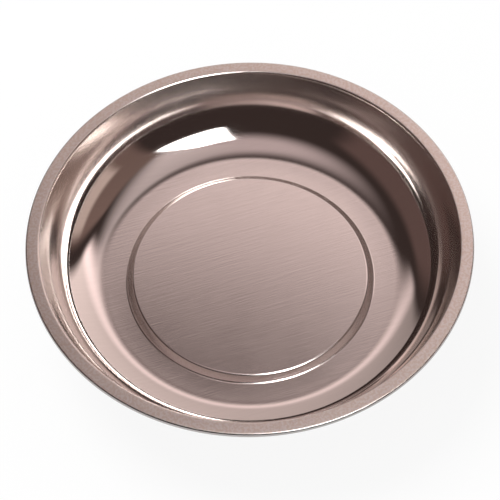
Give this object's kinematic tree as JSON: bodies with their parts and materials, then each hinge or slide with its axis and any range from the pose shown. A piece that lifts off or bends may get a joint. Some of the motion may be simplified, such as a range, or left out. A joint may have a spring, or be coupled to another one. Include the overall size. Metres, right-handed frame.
{
  "type": "magnetic parts tray",
  "caption": "Round steel dish with a narrow rim and a raised plateau in its floor, held on a clamped ring magnet with a rubber foot, to keep small steel parts together.",
  "frame": {"origin": "middle of the rubber foot's underside, on the surface that the tray stands on", "axes": "+Z along the tray's axis, up out of the dish. The tray is round, so X and Y are any two directions square to it; +Y points away from the picture's camera"},
  "size_m": [0.15, 0.15, 0.0334],
  "materials": {
    "stainless": "straight brushed grain on the floor, a drawn and polished wall",
    "coppered_steel": "copper-flashed thread",
    "foam": "matte closed-cell foam",
    "ferrite": "ground matte ferrite",
    "zinc_plate": "bright zinc plate",
    "rubber": "matte moulded rubber",
    "zinc_fasteners": "bright zinc plate",
    "nylon": "satin nylon"
  },
  "bodies": {
    "root": {"dish": "stainless", "weld_stud": "coppered_steel", "cushion_pad": "foam", "ring_magnet": "ferrite", "keeper_plate": "zinc_plate", "rubber_boot": "rubber", "flat_washer": "zinc_fasteners", "lock_nut": "zinc_fasteners", "nylon_ring": "nylon"}
  },
  "joints": []
}
